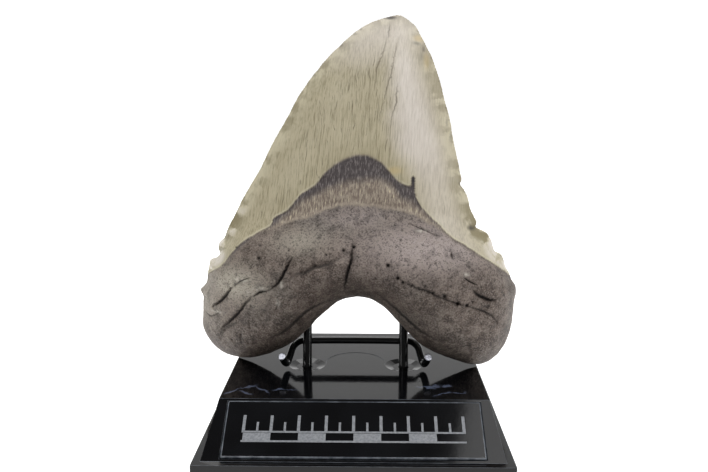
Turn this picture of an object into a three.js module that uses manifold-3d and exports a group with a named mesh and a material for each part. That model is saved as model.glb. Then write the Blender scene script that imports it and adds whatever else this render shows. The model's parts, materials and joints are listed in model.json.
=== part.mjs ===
// A large fossil shark tooth on its display stand: a moulded base with a sloped
// front and a name plaque, a wire easel behind the tooth and a wire cradle under it.
// Millimetres, +X right, +Y back, +Z up. The origin is the centre of the base's underside.

import * as THREE from 'three';
import { mergeVertices } from 'three/addons/utils/BufferGeometryUtils.js';
import Module from 'manifold-3d';

// Driving dimensions of the base
const DECK_HALF_WIDTH = 50.8;
const DECK_DEPTH = 77.8;
const FRONT_RUN = 21.5;
const BODY_DROP = 14.5;
const FLARE = 3.2;
const LEDGE = 3;
const PLINTH_HEIGHT = 8;
const WALL = 3;
const FOOTPRINT_DEPTH = DECK_DEPTH + FRONT_RUN + FLARE + 2 * LEDGE;
const DECK_Z = PLINTH_HEIGHT + BODY_DROP;
const DECK_BACK_Y = FOOTPRINT_DEPTH / 2 - LEDGE - FLARE;
const DECK_FRONT_Y = DECK_BACK_Y - DECK_DEPTH;
const DECK_MIDDLE_Y = (DECK_BACK_Y + DECK_FRONT_Y) / 2;
const DISH_RADIUS = 12.5;
const DISH_DEPTH = 0.4;
const CUP_RADIUS = 7.75;
const CUP_FLOOR_RADIUS = 4.5;
const CUP_DEPTH = 0.8;
const BOSS_RADIUS = 5.5;
const BOSS_BOTTOM_Z = 7;

// Plaque
const GAP = 0.3;
const PLAQUE_WIDTH = 94.3;
const PLAQUE_HEIGHT = 23.4;
const PLAQUE_THICKNESS = 1.5;
const POCKET_DEPTH = 1.2;
const FRONT_ANGLE = Math.atan2(BODY_DROP, FRONT_RUN);

// Wires
const POST_RADIUS = 1.9;
const POST_SPACING = 40.6;
const POST_LEAN = THREE.MathUtils.degToRad(12.5);
const POST_TOP = 76;
const POST_BURIED = 11;
const POST_FOOT_Y = DECK_MIDDLE_Y - 2.7;
const POST_BEND = 9;
const ARM_RADIUS = 1.5;
const WIRE_SEGMENTS = 5;
const POST_STEPS = 60;
const ARM_STEPS = 56;

// Tooth
const TOOTH_LEAN = THREE.MathUtils.degToRad(12);
const TOOTH_TURN = THREE.MathUtils.degToRad(-2);
const TOOTH_Y = DECK_MIDDLE_Y - 9.4;
const TOOTH_HEART = [1, 50];
const TOOTH_HEIGHT = 148;
const OUTLINE_STEPS = 96;
const RINGS = [0.24, 0.46, 0.64, 0.78, 0.88, 0.95, 0.985];
const LEFT_SWEEP = 11;
const RIGHT_SWEEP = 7;
const LOBE_REACH = 47;
const CROWN_ROUNDING = 38;
const ROOT_ROUNDING = 17;
const FLAT_ROUNDING = 9;

// The rim of the tooth seen square on, from the tip clockwise: [across, up].
const TOOTH_RIM = [
  [16.8, 147.6], [21.1, 145.5], [24.9, 141.2], [28.7, 133.8], [33.7, 121.3], [38.1, 103.9],
  [42.2, 84], [45.2, 74], [48.8, 64], [54, 56.8], [58.6, 49.4], [62.8, 41.4],
  [66.4, 33], [66.6, 25.5], [65.7, 16.5], [62.6, 7.5], [57.3, 2.3], [50.5, 0.6],
  [41.8, 3.2], [33, 7], [26.5, 10.8], [18.8, 19], [10.8, 27], [2.8, 30.4],
  [-5.7, 29.2], [-13.7, 23], [-25.4, 11.2], [-35.7, 4.8], [-43, 1.9], [-51.3, 0.3],
  [-59, 1], [-65.2, 4.4], [-69, 10], [-68.4, 17], [-67.6, 24], [-66.4, 30.5],
  [-63.3, 36.5], [-60.8, 45], [-56.3, 53], [-51.1, 63.4], [-40.3, 83.6], [-29.9, 103.7],
  [-19.5, 121.3], [-8.7, 133.9], [2.1, 143.1], [8.8, 146.2],
];

const wasm = await Module();
wasm.setup();

function solidOf(geometry) {
  const bare = geometry.clone();
  bare.deleteAttribute('normal');
  bare.deleteAttribute('uv');
  const merged = mergeVertices(bare, 1e-4);
  const vertProperties = new Float32Array(merged.attributes.position.array);
  const triVerts = new Uint32Array(merged.index.array);
  return new wasm.Manifold(new wasm.Mesh({ numProp: 3, vertProperties, triVerts }));
}

function geometryOf(solid) {
  const { vertProperties, triVerts } = solid.getMesh();
  const geometry = new THREE.BufferGeometry();
  geometry.setAttribute('position', new THREE.BufferAttribute(vertProperties, 3));
  geometry.setIndex(new THREE.BufferAttribute(triVerts, 1));
  geometry.computeVertexNormals();
  return geometry;
}

// A block with rectangular ends of different sizes. Each end is
// { z, halfWidth, front, back }.
function taperedBlock(bottom, top) {
  const geometry = new THREE.BoxGeometry(2, 1, 1);
  const position = geometry.attributes.position;
  for (let i = 0; i < position.count; i += 1) {
    const end = position.getZ(i) > 0 ? top : bottom;
    const y = position.getY(i) > 0 ? end.back : end.front;
    position.setXYZ(i, position.getX(i) * end.halfWidth, y, end.z);
  }
  return geometry;
}

// An upright round bar between two heights.
function uprightBar(x, y, bottomZ, topZ, bottomRadius, topRadius, sides) {
  const geometry = new THREE.CylinderGeometry(topRadius, bottomRadius, topZ - bottomZ, sides);
  geometry.rotateX(Math.PI / 2);
  geometry.translate(x, y, (topZ + bottomZ) / 2);
  return geometry;
}

// The outside of the body at a height, drawn in by a wall thickness.
function bodySection(z, inset) {
  const fall = (DECK_Z - z) / BODY_DROP;
  return {
    z,
    halfWidth: DECK_HALF_WIDTH + FLARE * fall - inset,
    front: DECK_FRONT_Y - FRONT_RUN * fall + inset,
    back: DECK_BACK_Y + FLARE * fall - inset,
  };
}

function plinthSection(z, inset) {
  const foot = bodySection(PLINTH_HEIGHT, 0);
  return {
    z,
    halfWidth: foot.halfWidth + LEDGE - inset,
    front: foot.front - LEDGE + inset,
    back: foot.back + LEDGE - inset,
  };
}

// A point on a post's centre line, at a height above the deck.
function postPoint(side, height) {
  const x = side * POST_SPACING / 2;
  const y = POST_FOOT_Y + height * Math.tan(POST_LEAN);
  return new THREE.Vector3(x, y, DECK_Z + height);
}

// A frame whose Y runs up the sloped front and whose Z stands out of it.
function frontFrame() {
  const frame = new THREE.Group();
  frame.position.set(0, DECK_FRONT_Y - FRONT_RUN / 2, DECK_Z - BODY_DROP / 2);
  frame.rotation.x = FRONT_ANGLE;
  frame.updateMatrix();
  return frame;
}

function baseGeometry() {
  const plinth = taperedBlock(plinthSection(0, 0), plinthSection(PLINTH_HEIGHT, 0));
  const body = taperedBlock(bodySection(PLINTH_HEIGHT - 1, 0), bodySection(DECK_Z, 0));
  const ledgeUnderside = PLINTH_HEIGHT - WALL;
  const underLedge = taperedBlock(plinthSection(-1, WALL), plinthSection(ledgeUnderside, WALL));
  const inside = taperedBlock(bodySection(ledgeUnderside - 1, WALL), bodySection(DECK_Z - WALL, WALL));
  let solid = solidOf(plinth).add(solidOf(body));
  solid = solid.subtract(solidOf(underLedge)).subtract(solidOf(inside));

  const pocket = new THREE.BoxGeometry(
    PLAQUE_WIDTH + 2 * GAP,
    PLAQUE_HEIGHT + 2 * GAP,
    2 * POCKET_DEPTH,
  );
  pocket.applyMatrix4(frontFrame().matrix);
  solid = solid.subtract(solidOf(pocket));

  const dish = uprightBar(0, DECK_MIDDLE_Y, DECK_Z - DISH_DEPTH, DECK_Z + 1, DISH_RADIUS, DISH_RADIUS, 40);
  solid = solid.subtract(solidOf(dish));

  for (const side of [-1, 1]) {
    const foot = postPoint(side, 0);
    const bossY = foot.y - POST_BURIED / 2 * Math.tan(POST_LEAN);
    const boss = uprightBar(foot.x, bossY, BOSS_BOTTOM_Z, DECK_Z - WALL + 1, BOSS_RADIUS, BOSS_RADIUS, 24);
    const cup = uprightBar(foot.x, foot.y, DECK_Z - CUP_DEPTH, DECK_Z, CUP_FLOOR_RADIUS, CUP_RADIUS, 24);
    const socketLength = POST_BURIED + 6;
    const socket = new THREE.CylinderGeometry(
      POST_RADIUS + GAP,
      POST_RADIUS + GAP,
      socketLength,
      16,
    );
    socket.translate(0, socketLength / 2 - POST_BURIED - GAP, 0);
    socket.rotateX(Math.PI / 2 - POST_LEAN);
    socket.translate(foot.x, foot.y, foot.z);
    solid = solid.add(solidOf(boss)).subtract(solidOf(cup)).subtract(solidOf(socket));
  }
  return geometryOf(solid);
}

// A round wire along a curve.
function wireGeometry(curve, radius, steps) {
  const section = new THREE.Shape();
  section.absarc(0, 0, radius, 0, 2 * Math.PI);
  return new THREE.ExtrudeGeometry(section, {
    extrudePath: curve,
    steps,
    curveSegments: WIRE_SEGMENTS,
  });
}

// One wire bent into an upside-down U: both posts and the rail that joins their tops.
function easelCurve() {
  const route = new THREE.CurvePath();
  const legStart = (side) => postPoint(side, -POST_BURIED * Math.cos(POST_LEAN));
  const legEnd = (side) => postPoint(side, POST_TOP - POST_BEND);
  const corner = (side) => postPoint(side, POST_TOP);
  const railEnd = (side) => corner(side).setX(side * (POST_SPACING / 2 - POST_BEND));
  route.add(new THREE.LineCurve3(legStart(-1), legEnd(-1)));
  route.add(new THREE.QuadraticBezierCurve3(legEnd(-1), corner(-1), railEnd(-1)));
  route.add(new THREE.LineCurve3(railEnd(-1), railEnd(1)));
  route.add(new THREE.QuadraticBezierCurve3(railEnd(1), corner(1), legEnd(1)));
  route.add(new THREE.LineCurve3(legEnd(1), legStart(1)));
  return route;
}

// One wire: a rail behind the posts, two arms that drop forward to the deck, and
// their upturned ends. Each point is [across, back of the deck's middle, above the deck].
function cradleCurve() {
  const rightHalf = [
    [29.6, -13.2, 7.6], [29.3, -12.2, 5], [28.9, -10.4, 2.9], [28.2, -7.6, 2.6],
    [27.3, -3.6, 4.8], [26.2, 0, 7.3], [23.6, 2.7, 8.6], [18, 3.2, 8.7],
  ];
  const leftHalf = rightHalf.map(([x, y, z]) => [-x, y, z]).reverse();
  const points = [...rightHalf, ...leftHalf].map(
    ([x, y, z]) => new THREE.Vector3(x, DECK_MIDDLE_Y + y, DECK_Z + z),
  );
  return new THREE.CatmullRomCurve3(points, false, 'centripetal');
}

const { smoothstep, lerp } = THREE.MathUtils;

// How far the root's lobes bend back, at a point across and up the tooth.
function lobeSweep(across, up) {
  const reach = across < 0 ? LEFT_SWEEP : RIGHT_SWEEP;
  return reach * (across / LOBE_REACH) ** 2 * (1 - smoothstep(up, 5, 60));
}

// A rounded edge: 0 at the rim, 1 once the distance from the rim passes the reach.
function roundedEdge(distance, reach, power) {
  const t = Math.min(distance / reach, 1);
  return (1 - (1 - t) ** 2) ** power;
}

// Thickness of the domed face in front of the rim's plane.
function domedFace(distance, up) {
  const rootness = 1 - smoothstep(up, 34, 62);
  const crownDepth = lerp(25, 9, smoothstep(up, 45, TOOTH_HEIGHT));
  const rootDepth = lerp(15, 25, smoothstep(up, 0, 48));
  const crown = crownDepth * roundedEdge(distance, CROWN_ROUNDING, 0.7);
  const root = rootDepth * roundedEdge(distance, ROOT_ROUNDING, 0.5);
  return lerp(crown, root, rootness);
}

// Thickness of the nearly flat face behind the rim's plane.
function flatFace(distance, up) {
  const depth = lerp(2.4, 4, smoothstep(up, 35, 70));
  return depth * roundedEdge(distance, FLAT_ROUNDING, 0.5);
}

function toothGeometry() {
  const controls = TOOTH_RIM.map(([across, up]) => new THREE.Vector3(across, up, 0));
  const rimCurve = new THREE.CatmullRomCurve3(controls, true, 'centripetal');
  const rim = rimCurve.getSpacedPoints(OUTLINE_STEPS).slice(0, OUTLINE_STEPS);
  const heart = new THREE.Vector3(...TOOTH_HEART, 0);
  const positions = [];
  const edges = rim.map((point, i) => new THREE.Line3(point, rim[(i + 1) % rim.length]));
  const rimDistance = (point) => {
    const nearest = new THREE.Vector3();
    const distances = edges.map((edge) => {
      edge.closestPointToPoint(point, true, nearest);
      return nearest.distanceTo(point);
    });
    return Math.min(...distances);
  };
  const addPoint = (across, up, thickness) => {
    const sweep = lobeSweep(across, up);
    const back = thickness + sweep * Math.cos(TOOTH_LEAN);
    positions.push(across, back, up + sweep * Math.sin(TOOTH_LEAN));
  };
  const addFacePoint = (point, face) => {
    const distance = rimDistance(point);
    const depth = face < 0 ? domedFace(distance, point.y) : flatFace(distance, point.y);
    addPoint(point.x, point.y, face * depth);
  };
  // One ring at the rim, then rings on the domed face and on the flat one, then two hearts.
  for (const point of rim) addPoint(point.x, point.y, 0);
  for (const face of [-1, 1]) {
    for (const ring of [...RINGS].reverse()) {
      for (const point of rim) addFacePoint(heart.clone().lerp(point, ring), face);
    }
  }
  addFacePoint(heart, -1);
  addFacePoint(heart, 1);

  const indices = [];
  const addTriangle = (a, b, c, face) => {
    if (face < 0) indices.push(a, c, b);
    else indices.push(a, b, c);
  };
  const rimLength = rim.length;
  for (const face of [-1, 1]) {
    const firstRing = face < 0 ? 1 : 1 + RINGS.length;
    const centre = rimLength * (1 + 2 * RINGS.length) + (face < 0 ? 0 : 1);
    const start = (level) => (level === 0 ? 0 : rimLength * (firstRing + level - 1));
    for (let i = 0; i < rimLength; i += 1) {
      const next = (i + 1) % rimLength;
      for (let level = 0; level < RINGS.length; level += 1) {
        const outer = start(level);
        const inner = start(level + 1);
        addTriangle(outer + i, outer + next, inner + i, face);
        addTriangle(outer + next, inner + next, inner + i, face);
      }
      const last = start(RINGS.length);
      addTriangle(last + i, last + next, centre, face);
    }
  }
  const geometry = new THREE.BufferGeometry();
  geometry.setAttribute('position', new THREE.Float32BufferAttribute(positions, 3));
  geometry.setIndex(indices);
  geometry.computeVertexNormals();
  return geometry;
}

function namedMesh(name, geometry, color, roughness, metalness) {
  const material = new THREE.MeshStandardMaterial({ color, roughness, metalness });
  const mesh = new THREE.Mesh(geometry, material);
  mesh.name = name;
  return mesh;
}

function buildStand() {
  const stand = new THREE.Group();
  stand.add(namedMesh('base', baseGeometry(), 0x0d0e11, 0.15, 0));

  const plaque = namedMesh(
    'plaque',
    new THREE.BoxGeometry(PLAQUE_WIDTH, PLAQUE_HEIGHT, PLAQUE_THICKNESS),
    0x08090b,
    0.2,
    0,
  );
  plaque.position.z = PLAQUE_THICKNESS / 2 - POCKET_DEPTH + GAP;
  const front = frontFrame();
  front.add(plaque);
  stand.add(front);

  const easel = wireGeometry(easelCurve(), POST_RADIUS, POST_STEPS);
  stand.add(namedMesh('easel_wire', easel, 0x0b0c0e, 0.25, 0.6));
  const cradle = wireGeometry(cradleCurve(), ARM_RADIUS, ARM_STEPS);
  stand.add(namedMesh('cradle_wire', cradle, 0x0b0c0e, 0.25, 0.6));
  return stand;
}

// The tooth leans back in one group and is turned a little in the next. It is then
// lowered until its lobes rest on the deck.
function buildTooth() {
  const tooth = namedMesh('tooth', toothGeometry(), 0x8d8578, 0.55, 0);
  const leaning = new THREE.Group();
  leaning.rotation.x = -TOOTH_LEAN;
  leaning.add(tooth);
  const placed = new THREE.Group();
  placed.rotation.z = TOOTH_TURN;
  placed.add(leaning);
  placed.updateMatrixWorld(true);
  const lowest = new THREE.Box3().setFromObject(placed, true).min.z;
  placed.position.set(0, TOOTH_Y, DECK_Z + GAP - lowest);
  return placed;
}

const model = new THREE.Group();
model.add(buildStand(), buildTooth());

export default model;
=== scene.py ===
"""A large fossil shark tooth on its moulded display stand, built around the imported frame."""

import json
import math

import bmesh
import bpy
import numpy as np
from bpy.props import FloatProperty, FloatVectorProperty, IntProperty, PointerProperty
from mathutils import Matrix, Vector
from mathutils.geometry import delaunay_2d_cdt

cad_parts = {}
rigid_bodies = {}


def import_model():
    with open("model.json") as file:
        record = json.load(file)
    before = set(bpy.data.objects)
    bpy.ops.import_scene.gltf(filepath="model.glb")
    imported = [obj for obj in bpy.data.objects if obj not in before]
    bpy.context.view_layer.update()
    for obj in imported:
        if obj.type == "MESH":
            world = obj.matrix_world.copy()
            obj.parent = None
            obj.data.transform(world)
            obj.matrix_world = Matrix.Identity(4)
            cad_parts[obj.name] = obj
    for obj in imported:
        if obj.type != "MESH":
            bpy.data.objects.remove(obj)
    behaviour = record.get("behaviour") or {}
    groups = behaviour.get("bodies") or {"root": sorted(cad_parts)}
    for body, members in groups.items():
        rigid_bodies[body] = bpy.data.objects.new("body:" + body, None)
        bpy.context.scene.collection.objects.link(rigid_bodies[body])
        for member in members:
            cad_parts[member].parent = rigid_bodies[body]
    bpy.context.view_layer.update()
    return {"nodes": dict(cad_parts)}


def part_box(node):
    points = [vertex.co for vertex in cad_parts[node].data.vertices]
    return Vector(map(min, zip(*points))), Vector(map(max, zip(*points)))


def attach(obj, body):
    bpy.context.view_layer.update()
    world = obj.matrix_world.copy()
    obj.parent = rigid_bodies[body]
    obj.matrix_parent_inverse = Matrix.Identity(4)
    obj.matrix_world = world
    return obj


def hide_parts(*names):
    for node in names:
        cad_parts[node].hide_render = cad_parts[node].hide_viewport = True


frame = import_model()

bl_info = {
    "name": "Fossil tooth on a stand",
    "version": (1, 0, 0),
    "blender": (4, 5, 0),
    "location": "3D View > Sidebar > Fossil",
    "description": "Builds a fossil shark tooth, its wire easel and its moulded base",
    "category": "Object",
}

MM = 0.001
BASE_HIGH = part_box("base")[1]
PLAQUE_LOW, PLAQUE_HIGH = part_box("plaque")
TOOTH_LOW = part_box("tooth")[0]

# The stand's proportions, in millimetres, as the frame has them.
DECK_Z = BASE_HIGH.z / MM
DECK_DEPTH = 77.8
DECK_BACK_Y = BASE_HIGH.y / MM - 6.2
DECK_MIDDLE_Y = DECK_BACK_Y - DECK_DEPTH / 2
DECK_FRONT_Y = DECK_BACK_Y - DECK_DEPTH
FRONT_RUN = 21.5
BODY_DROP = 14.5
FRONT_ANGLE = math.atan2(BODY_DROP, FRONT_RUN)
DISH_RADIUS = 12.5
DISH_DEPTH = 0.4
SOFT_DISH_DEPTH = 0.12
PLATE_WIDTH = (PLAQUE_HIGH.x - PLAQUE_LOW.x) / MM
PLATE_HEIGHT = 23.4
PLATE_THICKNESS = 1.5
PLATE_STANDS_OUT = 0.6
PLATE_BEVEL = 0.55
POST_SPACING = 40.6
POST_LEAN = math.radians(12.5)
POST_TOP = 76.0
POST_BURIED = 10.8
POST_BEND = 9.0
POST_FOOT_BACK = 2.7


# ---------------------------------------------------------------- shader expressions


class Signal:
    """A value in a material. Arithmetic on it adds Math nodes."""

    def __init__(self, graph, socket):
        self.graph = graph
        self.socket = socket

    def math(self, operation, *others):
        values = dict(enumerate((self, *others)))
        return self.graph.add("ShaderNodeMath", {"operation": operation}, values)

    def __add__(self, other):
        return self.math("ADD", other)

    def __sub__(self, other):
        return self.math("SUBTRACT", other)

    def __mul__(self, other):
        return self.math("MULTIPLY", other)

    def __truediv__(self, other):
        return self.math("DIVIDE", other)

    def __pow__(self, other):
        return self.math("POWER", other)

    def __radd__(self, other):
        return self.math("ADD", other)

    def __rmul__(self, other):
        return self.math("MULTIPLY", other)

    def __rsub__(self, other):
        return self.graph.add("ShaderNodeMath", {"operation": "SUBTRACT"}, {0: other, 1: self})

    def rise(self, low, high):
        """0 below low and 1 above high, smooth between them; high may be the lower one."""
        settings = {"interpolation_type": "SMOOTHSTEP", "clamp": True}
        return self.graph.add("ShaderNodeMapRange", settings, {0: self, 1: low, 2: high})


class Graph:
    """The nodes of one material, with its Principled shader ready."""

    def __init__(self, name, **shader_values):
        self.material = bpy.data.materials.new(name)
        self.material.use_nodes = True
        self.tree = self.material.node_tree
        self.shader = self.tree.nodes["Principled BSDF"]
        for label, value in shader_values.items():
            self.shader.inputs[label.replace("_", " ")].default_value = value

    def add(self, kind, settings=None, inputs=None, output=0):
        """Any node: its settings first, then the values or links of its sockets."""
        node = self.tree.nodes.new(kind)
        for key, value in (settings or {}).items():
            setattr(node, key, value)
        for key, value in (inputs or {}).items():
            self.feed(node.inputs[key], value)
        return Signal(self, node.outputs[output])

    def feed(self, socket, value):
        if isinstance(value, Signal):
            self.tree.links.new(value.socket, socket)
        elif isinstance(value, (tuple, list)) and len(value) == 3 and socket.type == "RGBA":
            socket.default_value = (*value, 1.0)
        else:
            socket.default_value = value

    def mix(self, factor, first, second):
        settings = {"data_type": "RGBA", "clamp_factor": True}
        return self.add("ShaderNodeMix", settings, {0: factor, 6: first, 7: second}, 2)

    def attribute(self, name, output="Fac"):
        return self.add("ShaderNodeAttribute", {"attribute_name": name}, None, output)

    def noise(self, vector, scale, detail=3.0, roughness=0.55, output="Fac"):
        values = {"Vector": vector, "Scale": scale, "Detail": detail, "Roughness": roughness}
        return self.add("ShaderNodeTexNoise", None, values, output)

    def stretch(self, vector, scale, location=(0.0, 0.0, 0.0)):
        return self.add("ShaderNodeMapping", None, {"Vector": vector, "Scale": scale, "Location": location})

    def object_coords(self):
        return self.add("ShaderNodeTexCoord", None, None, "Object")

    def finish(self, **links):
        for label, value in links.items():
            self.feed(self.shader.inputs[label.replace("_", " ")], value)
        return self.material

    def bump(self, height, distance, strength):
        inputs = {"Height": height, "Distance": distance, "Strength": strength}
        return self.add("ShaderNodeBump", None, inputs, "Normal")


def srgb(red, green, blue):
    """A linear colour from the familiar 0 to 255 values."""

    def linear(value):
        share = value / 255.0
        return share / 12.92 if share <= 0.04045 else ((share + 0.055) / 1.055) ** 2.4

    return tuple(linear(value) for value in (red, green, blue))


# ---------------------------------------------------------------- curves and noise


def smooth_curve(points, step, closed=False):
    """A centripetal Catmull-Rom curve through the points, sampled evenly about every step."""
    knots = np.array(points, float)
    if closed:
        ring = np.concatenate([knots[-1:], knots, knots[:2]])
    else:
        first = 2 * knots[:1] - knots[1:2]
        last = 2 * knots[-1:] - knots[-2:-1]
        ring = np.concatenate([first, knots, last])
    pieces = []
    for i in range(1, len(ring) - 2):
        p0, p1, p2, p3 = ring[i - 1 : i + 3]
        t = [0.0]
        for a, b in ((p0, p1), (p1, p2), (p2, p3)):
            t.append(t[-1] + max(np.linalg.norm(b - a), 1e-6) ** 0.5)
        s = np.linspace(t[1], t[2], 24, endpoint=False)[:, None]
        a1 = (t[1] - s) / (t[1] - t[0]) * p0 + (s - t[0]) / (t[1] - t[0]) * p1
        a2 = (t[2] - s) / (t[2] - t[1]) * p1 + (s - t[1]) / (t[2] - t[1]) * p2
        a3 = (t[3] - s) / (t[3] - t[2]) * p2 + (s - t[2]) / (t[3] - t[2]) * p3
        b1 = (t[2] - s) / (t[2] - t[0]) * a1 + (s - t[0]) / (t[2] - t[0]) * a2
        b2 = (t[3] - s) / (t[3] - t[1]) * a2 + (s - t[1]) / (t[3] - t[1]) * a3
        pieces.append((t[2] - s) / (t[2] - t[1]) * b1 + (s - t[1]) / (t[2] - t[1]) * b2)
    curve = np.concatenate([*pieces, knots[:1] if closed else knots[-1:]])
    lengths = np.r_[0, np.cumsum(np.linalg.norm(np.diff(curve, axis=0), axis=1))]
    count = max(2, int(round(lengths[-1] / step)))
    places = np.linspace(0, lengths[-1], count + 1)
    columns = [np.interp(places, lengths, curve[:, k]) for k in range(curve.shape[1])]
    samples = np.stack(columns, 1)
    return samples[:-1] if closed else samples


def smoothstep(value, low, high):
    t = np.clip((value - low) / (high - low), 0, 1)
    return t * t * (3 - 2 * t)


def value_noise(points, size, seed):
    """Smooth noise from 0 to 1 with features about size across, for rows of 2 or 3 numbers."""
    scaled = points / size
    cell = np.floor(scaled).astype(np.int64)
    ease = scaled - cell
    ease = ease * ease * (3 - 2 * ease)
    primes = np.array([374761393, 668265263, 2147483647 - 19], np.int64)[: points.shape[1]]
    total = np.zeros(len(points))
    for corner in range(2 ** points.shape[1]):
        offset = np.array([(corner >> k) & 1 for k in range(points.shape[1])])
        weight = np.prod(np.where(offset, ease, 1 - ease), axis=1)
        key = ((cell + offset) * primes).sum(1) + seed * 144665
        key = (key ^ (key >> 13)) * 1274126177
        key = (key ^ (key >> 16)) & 0xFFFFFF
        total += weight * key / 0xFFFFFF
    return total


def fractal_noise(points, size, octaves, seed):
    """Layers of value noise, centred on 0 and about -1 to 1."""
    total = np.zeros(len(points))
    weight = 1.0
    whole = 0.0
    for level in range(octaves):
        total += weight * (2 * value_noise(points, size / 2**level, seed + level) - 1)
        whole += weight
        weight *= 0.5
    return total / whole


def inside_outline(points, outline):
    x, y = points[:, 0], points[:, 1]
    hits = np.zeros(len(points), bool)
    for (x0, y0), (x1, y1) in zip(outline, np.roll(outline, -1, 0)):
        if y1 != y0:
            crossing = ((y0 > y) != (y1 > y)) & (x < (x1 - x0) * (y - y0) / (y1 - y0) + x0)
            hits ^= crossing
    return hits


def nearest_on_line(points, line, closed=False):
    """For each point: distance to the line, share of the way along it, and height over it."""
    starts = line if closed else line[:-1]
    ends = np.roll(line, -1, 0) if closed else line[1:]
    spans = ends - starts
    squares = (spans**2).sum(1) + 1e-12
    distance = np.empty(len(points))
    along = np.empty(len(points))
    over = np.empty(len(points))
    for k in range(0, len(points), 4000):
        offset = points[k : k + 4000, None, :] - starts
        t = np.clip((offset * spans).sum(-1) / squares, 0, 1)
        gaps = ((offset - t[..., None] * spans) ** 2).sum(-1)
        best = gaps.argmin(1)
        rows = np.arange(len(best))
        distance[k : k + 4000] = np.sqrt(gaps[rows, best])
        along[k : k + 4000] = (best + t[rows, best]) / len(spans)
        over[k : k + 4000] = (offset - t[..., None] * spans)[rows, best, 1]
    return distance, along, over


# ---------------------------------------------------------------- the tooth's form

# Everything here is in the tooth's own millimetres: [across, up], seen square on.
TOOTH_LEAN = math.radians(12)
TOOTH_TURN = math.radians(-2)
TOOTH_Y = DECK_MIDDLE_Y - 9.4
LEFT_SWEEP = 11.0
RIGHT_SWEEP = 7.0
LOBE_REACH = 47.0
TOOTH_RIM = [
    (16.9, 147.6), (19.2, 146.6), (21.2, 145.2), (23.6, 143), (26, 138.8), (28.6, 133.8),
    (31.2, 128.4), (33.6, 121.2), (35.5, 113.8), (38.1, 103.9), (40, 93.9), (42.2, 84),
    (43.2, 79.2), (42.5, 77.6), (44, 75.4), (45.3, 73), (46.2, 70), (46.9, 67), (48.3, 64.2),
    (49.5, 61.9), (49.1, 59.9), (51.2, 58.8), (53.5, 57.4), (55.3, 54.8), (56.5, 51),
    (57, 49.9), (59.3, 48.6), (60.7, 46), (61.5, 43.6), (62.9, 41), (64.4, 37.4), (66.2, 34.6),
    (66.8, 31.5), (66.4, 27.5), (65.9, 21.5), (65.6, 16.5), (64.2, 11), (61.8, 6.3),
    (57.3, 2.3), (50.5, 0.6), (41.8, 3.2), (33, 7), (26.5, 10.8), (18.8, 19), (10.8, 27),
    (2.8, 30.4), (-5.7, 29.2), (-13.7, 23), (-25.4, 11.2), (-35.7, 4.8), (-43, 1.9),
    (-51.3, 0.3), (-59, 1), (-65.2, 4.4), (-69, 10), (-68.6, 17), (-67.9, 23), (-67.3, 26.2),
    (-68.2, 29.1), (-66.4, 31.2), (-64.4, 34.2), (-63.6, 38), (-62.6, 41.5), (-61.6, 44.4),
    (-58.6, 45.8), (-57.4, 47.3), (-58, 49.4), (-57.4, 52.2), (-55.4, 54.6), (-54, 58),
    (-51.4, 63.4), (-46.3, 73.5), (-40.5, 83.6), (-35.7, 93.7), (-30.1, 103.7),
    (-24.9, 113.8), (-19.7, 121.3), (-13.7, 128.9), (-8.9, 133.9), (-3.5, 138.9), (1.9, 143),
    (6.9, 145.4), (12, 146.9),
]
# Where the enamel ends on the viewer's face, from left to right.
ENAMEL_EDGE = [
    (-72, 33.5), (-60.8, 38.4), (-53.8, 42.4), (-49.3, 48.1), (-44.6, 53), (-39.1, 56.2),
    (-33.8, 59.3), (-32.6, 62.4), (-27.4, 65.5), (-21.3, 72.3), (-16, 75.7), (-11.1, 81.6),
    (-5, 85.6), (0, 87.4), (3.9, 87.6), (7.7, 86.2), (11.9, 83), (15.2, 79), (19, 76.1),
    (21.8, 75.8), (22.5, 79.4), (23.2, 79.2), (23.8, 72.1), (25.8, 67.9), (32.5, 60.9),
    (38.2, 55.3), (46.1, 50.5), (53.5, 45.6), (61.5, 40.4), (72, 34),
]
# Where the dark collar ends, and where the striated band below it meets the root.
DARK_EDGE = [
    (-72, 33.2), (-60.8, 38.2), (-49.3, 47.2), (-39, 55.8), (-33.5, 58.9), (-27.7, 63.8),
    (-21.2, 69.4), (-14.8, 72.6), (-9.2, 75), (-4.1, 76.6), (2, 77.6), (8.2, 78.1),
    (14.4, 75.7), (18.6, 70.7), (23.6, 68.6), (32, 60.6), (38, 55), (53.5, 45.4), (72, 33.7),
]
ROOT_EDGE = [
    (-72, 33), (-60.8, 38), (-49.2, 47), (-39.1, 55.5), (-33.2, 57.9), (-25.1, 61.2),
    (-19.1, 62.6), (-8.9, 66.7), (-4, 67.5), (2, 67.5), (8.3, 67), (15.8, 65.9), (21.7, 64.6),
    (27.6, 62), (33.6, 58.4), (38.3, 54.6), (53.5, 45.1), (72, 33.4),
]
# The back's enamel comes lower, in one shallow curve.
BACK_ENAMEL_EDGE = [
    (-72, 32), (-60, 37), (-45, 42), (-30, 45.5), (-12, 47), (0, 46), (14, 46.5), (30, 45),
    (46, 41.5), (60, 38), (72, 33),
]
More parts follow.
